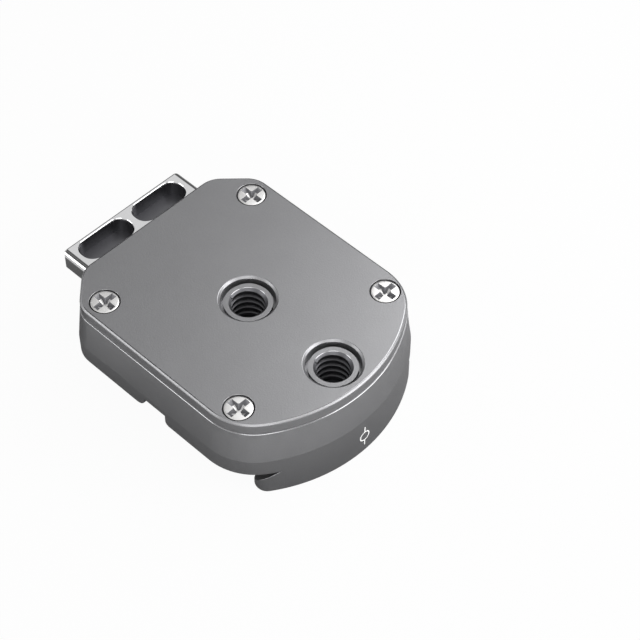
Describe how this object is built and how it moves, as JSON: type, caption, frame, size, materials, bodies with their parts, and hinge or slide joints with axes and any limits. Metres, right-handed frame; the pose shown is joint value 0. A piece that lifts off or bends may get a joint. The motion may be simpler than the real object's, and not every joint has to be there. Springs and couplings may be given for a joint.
{
  "type": "quick release plate",
  "caption": "Quick release clamp plate: two threaded holes on top, a dovetail channel beneath, and a sprung jaw that a pull tab opens.",
  "frame": {"origin": "on the axis of the centre threaded hole, at the hole's mouth", "axes": "+Z out of the threaded holes, away from the jaws; +X from the pull tab towards the round end; the channel runs along Y"},
  "size_m": [0.0536, 0.0396, 0.0156],
  "materials": {
    "anodised_body": "bead-blasted grey anodising",
    "anodised_jaw": "bead-blasted grey anodising",
    "bright_tab": "polished bright plating",
    "plated_screw": "bright nickel plating",
    "spring_steel": "drawn steel"
  },
  "bodies": {
    "plate": {"housing": "anodised_body", "cover_plate": "anodised_body", "cover_screw_1": "plated_screw", "cover_screw_2": "plated_screw", "cover_screw_3": "plated_screw", "cover_screw_4": "plated_screw", "guide_pin_left": "spring_steel", "guide_pin_right": "spring_steel", "return_spring_left": "spring_steel", "return_spring_right": "spring_steel"},
    "slider": {"release_tab": "bright_tab", "moving_jaw": "anodised_jaw", "jaw_screw_left": "plated_screw", "jaw_screw_right": "plated_screw"}
  },
  "joints": [
    {"name": "tab_slide", "type": "slide", "parent": "plate", "child": "slider", "axis": [-1, 0, 0], "range_m": [0, 0.0045], "stiffness_N_per_m": 900, "springref_m": -0.006, "deforming": ["return_spring_left", "return_spring_right"]}
  ]
}
